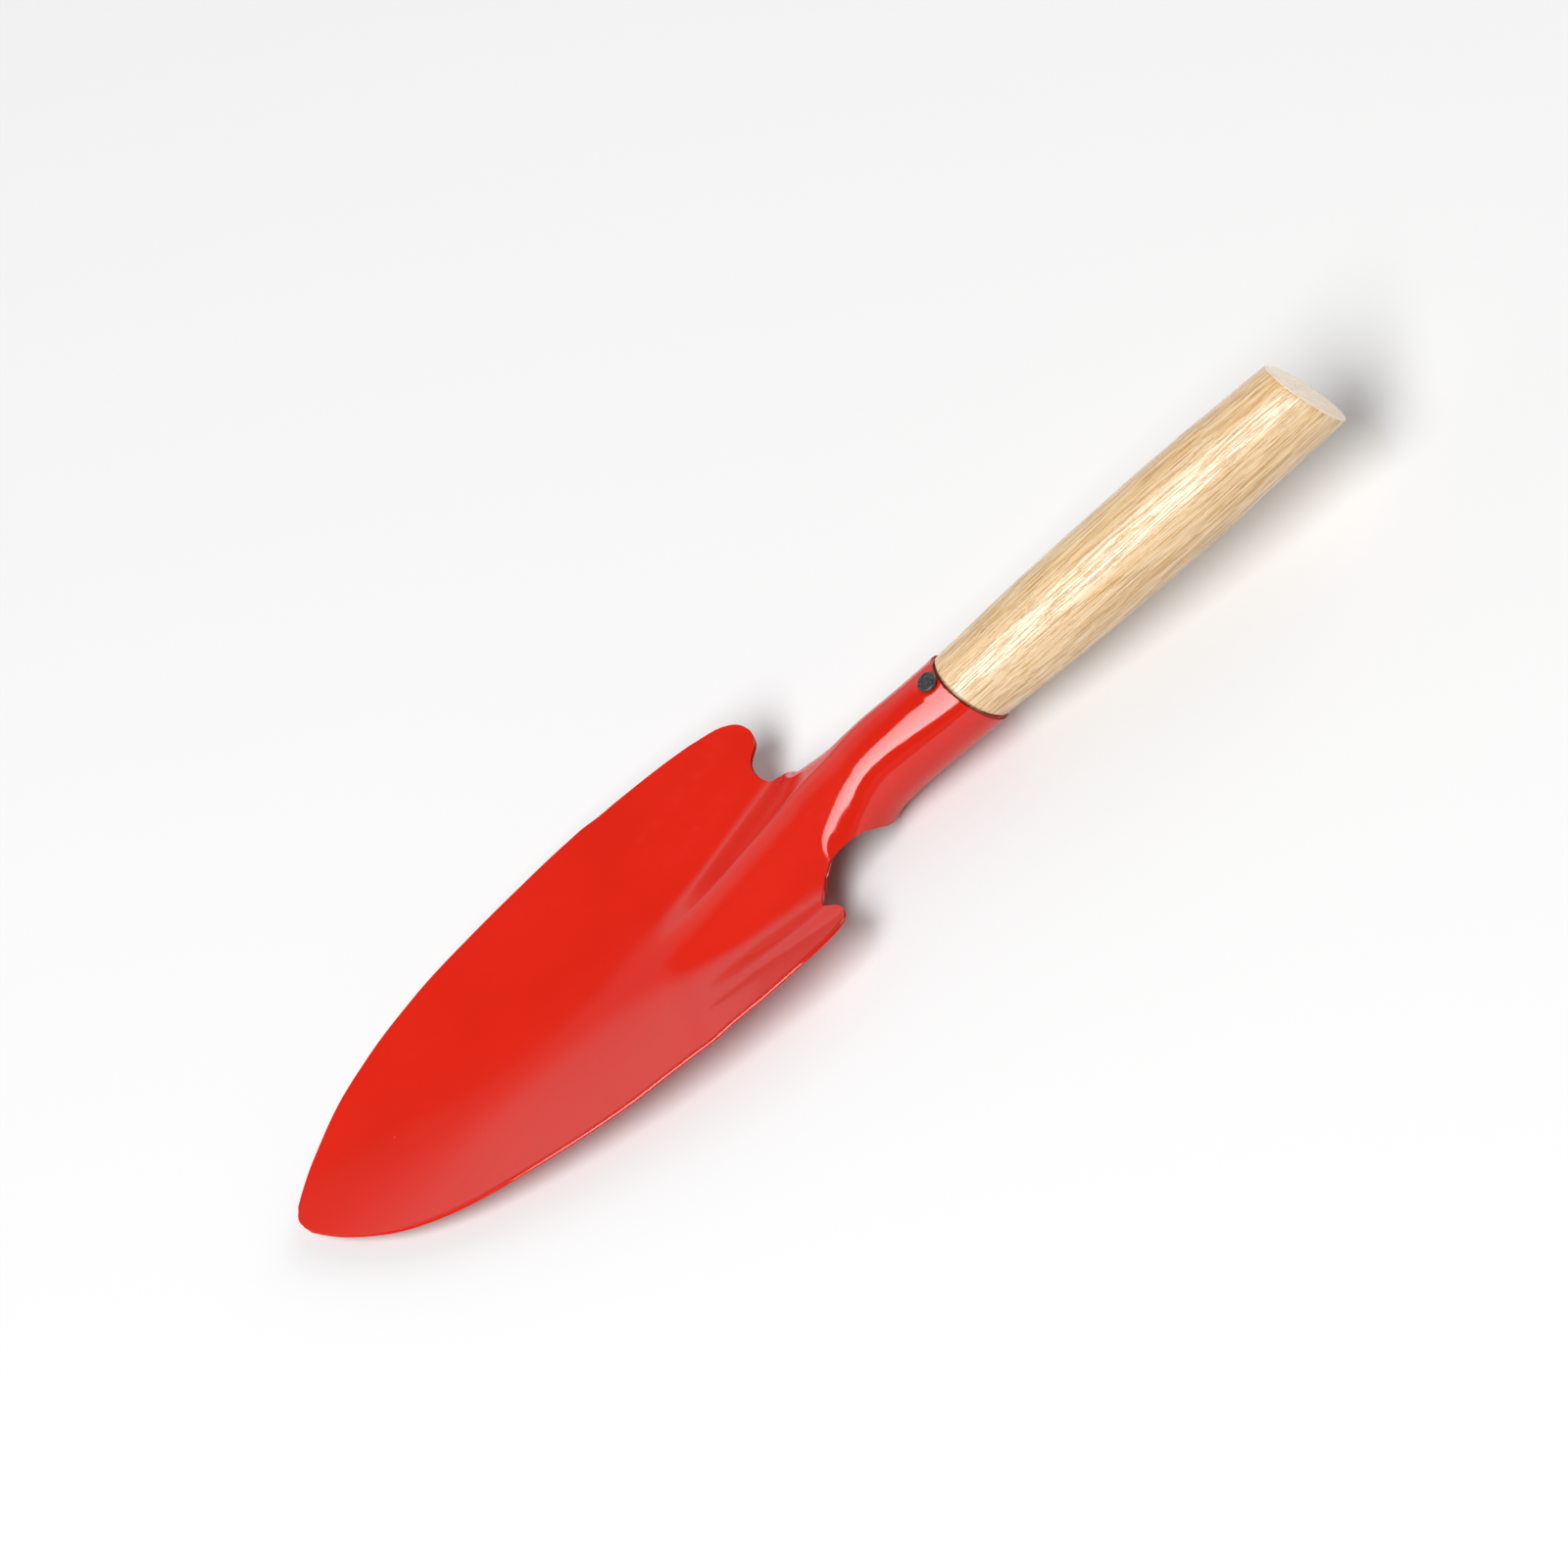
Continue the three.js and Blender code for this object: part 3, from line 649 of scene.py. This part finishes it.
ENAMEL_DEEP = (0.57, 0.0133, 0.0045, 1)
ENAMEL_BRIGHT = (0.61, 0.0158, 0.0056, 1)
ENAMEL_NIB = (0.9, 0.09, 0.06, 1)            # dust under the enamel
NIB_SCALE = 0.16
NIB_RADIUS = 0.055                           # in the pattern's own units
NIB_THRESHOLD = 0.62                         # only cells whose random colour is brighter than this show one
NIB_HEIGHT = 0.00006                         # this and the other heights of relief are in metres
PEEL_HEIGHT = 0.00001                        # slight waviness of the enamel

WOOD_PALE = (0.75, 0.55, 0.325, 1)
WOOD_STREAK = (0.66, 0.42, 0.185, 1)
WOOD_TONE = (0.69, 0.445, 0.195, 1)
WOOD_FIBRE_DARK = (0.47, 0.25, 0.075, 1)
WOOD_FIBRE_LIGHT = (0.82, 0.645, 0.44, 1)
WOOD_PORE = (0.34, 0.18, 0.06, 1)
END_GRAIN_PALE = (0.95, 0.76, 0.54, 1)
END_GRAIN_RING = (0.87, 0.66, 0.44, 1)
END_GRAIN_DOT = (0.60, 0.42, 0.26, 1)
GRAIN_DEPTH = 0.00004
VARNISH_ROUGHNESS = 0.24

STEEL_DARK = (0.022, 0.024, 0.026, 1)
STEEL_LIGHT = (0.045, 0.046, 0.046, 1)
# light specks on the nail: partly worn steel, partly painted glints standing in for highlights
STEEL_WORN_AND_GLINT = (0.30, 0.31, 0.31, 1)
STEEL_RELIEF = 0.00003


class Material:
    """A small helper for wiring a procedural material. Its patterns are laid out in millimetres."""

    def __init__(self, name):
        self.material = bpy.data.materials.new(name)
        self.material.use_nodes = True
        self.nodes = self.material.node_tree.nodes
        self.links = self.material.node_tree.links
        self.shader = self.nodes["Principled BSDF"]
        self.place = self.trowel_frame()

    def node(self, kind, inputs=None, **settings):
        made = self.nodes.new(kind)
        for key, value in settings.items():
            setattr(made, key, value)
        for key, value in (inputs or {}).items():
            self.feed(made.inputs[key], value)
        return made

    def feed(self, socket, value):
        if isinstance(value, bpy.types.NodeSocket):
            self.links.new(value, socket)
        else:
            socket.default_value = value

    def trowel_frame(self):
        """Place on the object in millimetres about the handle's axis."""
        back = Matrix.Rotation(REST_PITCH, 3, "Y")
        shift = back @ Vector(-REST_SHIFT)
        coordinates = self.node("ShaderNodeTexCoord")
        mapping = self.node("ShaderNodeMapping", {"Vector": coordinates.outputs["Object"]})
        mapping.inputs["Location"].default_value = shift
        mapping.inputs["Rotation"].default_value = (0, REST_PITCH, 0)
        mapping.inputs["Scale"].default_value = (1000, 1000, 1000)
        return mapping.outputs[0]

    def stretched(self, scale, offset=(0, 0, 0)):
        mapping = self.node("ShaderNodeMapping", {"Vector": self.place})
        mapping.inputs["Scale"].default_value = scale
        mapping.inputs["Location"].default_value = offset
        return mapping.outputs[0]

    def noise(self, vector, scale=1.0, detail=2.0, roughness=0.5, distortion=0.0):
        made = self.node("ShaderNodeTexNoise", {"Vector": vector, "Scale": scale, "Detail": detail,
                                                "Roughness": roughness, "Distortion": distortion})
        return made.outputs["Fac"]

    def math(self, operation, a, b, clamp=False):
        made = self.node("ShaderNodeMath", {0: a, 1: b}, operation=operation, use_clamp=clamp)
        return made.outputs[0]

    def span(self, value, low, high, to_low=0.0, to_high=1.0):
        made = self.node("ShaderNodeMapRange", {"Value": value, "From Min": low, "From Max": high,
                                                "To Min": to_low, "To Max": to_high})
        return made.outputs[0]

    def blend(self, share, a, b):
        made = self.node("ShaderNodeMix", data_type="RGBA")
        self.feed(made.inputs["Factor"], share)
        self.feed(made.inputs["A"], a)
        self.feed(made.inputs["B"], b)
        return made.outputs["Result"]

    def bump(self, height, distance, under=None):
        made = self.node("ShaderNodeBump", {"Height": height, "Distance": distance, "Strength": 1.0})
        if under is not None:
            self.links.new(under, made.inputs["Normal"])
        return made.outputs[0]


def enamel():
    m = Material("red_enamel")
    shader = m.shader
    shader.inputs["IOR"].default_value = 1.5
    shade = m.noise(m.stretched((0.03, 0.05, 0.05)), detail=3)
    base = m.blend(m.span(shade, 0.3, 0.7), ENAMEL_DEEP, ENAMEL_BRIGHT)
    nibs = m.node("ShaderNodeTexVoronoi", {"Vector": m.place, "Scale": NIB_SCALE, "Randomness": 1.0})
    pick = m.math("GREATER_THAN", nibs.outputs["Color"], NIB_THRESHOLD)
    spot = m.span(nibs.outputs["Distance"], 0.0, NIB_RADIUS, 1.0, 0.0)
    nib = m.math("MULTIPLY", spot, pick, clamp=True)
    base = m.blend(m.math("MULTIPLY", nib, 0.35), base, ENAMEL_NIB)
    m.links.new(base, shader.inputs["Base Color"])
    film = m.noise(m.place, scale=0.5, detail=2)
    m.links.new(m.span(film, 0.3, 0.7, 0.07, 0.13), shader.inputs["Roughness"])
    peel = m.noise(m.place, scale=0.55, detail=1.5)
    normal = m.bump(peel, PEEL_HEIGHT)
    normal = m.bump(nib, NIB_HEIGHT, under=normal)
    m.links.new(normal, shader.inputs["Normal"])
    return m.material


def wood():
    m = Material("pale_wood")
    shader = m.shader
    tone = m.noise(m.stretched((0.02, 0.25, 0.25)), detail=2)
    streak = m.noise(m.stretched((0.04, 0.7, 0.7), (3, 7, 1)), detail=3, roughness=0.6, distortion=0.15)
    fibre = m.noise(m.stretched((0.09, 2.6, 2.6)), detail=3, roughness=0.6, distortion=0.1)
    pores = m.noise(m.stretched((0.11, 3.6, 3.6), (11, 2, 5)), detail=1)
    pore = m.span(pores, 0.60, 0.67)
    base = m.blend(m.span(streak, 0.40, 0.62), WOOD_PALE, WOOD_STREAK)
    base = m.blend(m.span(tone, 0.40, 0.62, 0, 0.4), base, WOOD_TONE)
    base = m.blend(m.span(fibre, 0.50, 0.62, 0, 0.85), base, WOOD_FIBRE_DARK)
    base = m.blend(m.span(fibre, 0.46, 0.36, 0, 0.6), base, WOOD_FIBRE_LIGHT)
    base = m.blend(m.math("MULTIPLY", pore, 0.55), base, WOOD_PORE)
    split = m.node("ShaderNodeSeparateXYZ", {"Vector": m.place})
    across = m.math("MULTIPLY", split.outputs["Y"], -BUTT_SLOPE_Y)
    upward = m.math("MULTIPLY", split.outputs["Z"], -BUTT_SLOPE_Z)
    depth = m.math("ADD", split.outputs["X"], m.math("ADD", across, upward))
    end = m.span(depth, BUTT_X - END_GRAIN_DEPTH[0], BUTT_X - END_GRAIN_DEPTH[1])
    dots = m.noise(m.stretched((0.5, 2.6, 2.6)), detail=2)
    rings = m.noise(m.stretched((0.1, 0.9, 0.25), (5, 1, 0)), detail=2)
    grain = m.blend(m.span(rings, 0.4, 0.62), END_GRAIN_PALE, END_GRAIN_RING)
    grain = m.blend(m.span(dots, 0.52, 0.66, 0, 0.6), grain, END_GRAIN_DOT)
    m.links.new(m.blend(end, base, grain), shader.inputs["Base Color"])
    m.links.new(m.span(fibre, 0.3, 0.7, 0.34, 0.5), shader.inputs["Roughness"])
    shader.inputs["Coat Weight"].default_value = 1.0
    shader.inputs["Coat Roughness"].default_value = VARNISH_ROUGHNESS
    normal = m.bump(m.math("SUBTRACT", 1.0, m.math("MAXIMUM", pore, m.span(fibre, 0.5, 0.64))), GRAIN_DEPTH)
    m.links.new(normal, shader.inputs["Normal"])
    m.links.new(normal, shader.inputs["Coat Normal"])
    return m.material


def black_steel():
    m = Material("black_steel")
    shader = m.shader
    cloud = m.noise(m.place, scale=1.4, detail=4)
    base = m.blend(m.span(cloud, 0.35, 0.65), STEEL_DARK, STEEL_LIGHT)
    # scattered light specks, partly wear and partly painted glints in place of highlights on the head
    worn_and_glint = m.span(m.noise(m.place, scale=3.4, detail=2), 0.58, 0.68, 0, 0.45)
    base = m.blend(worn_and_glint, base, STEEL_WORN_AND_GLINT)
    m.links.new(base, shader.inputs["Base Color"])
    m.links.new(m.span(cloud, 0.3, 0.7, 0.22, 0.42), shader.inputs["Roughness"])
    m.links.new(m.bump(m.noise(m.place, scale=3, detail=4), STEEL_RELIEF), shader.inputs["Normal"])
    return m.material


def dress(piece, node, material):
    piece.data.materials.append(material)
    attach(piece, "root")
    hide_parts(node)


make_camera()
make_softbox()
make_surround()
make_floor()
bpy.context.scene.view_settings.view_transform = "Standard"

dress(make_sheet(), "blade_and_socket", enamel())
dress(make_handle(), "handle", wood())
dress(make_nail(), "nail", black_steel())
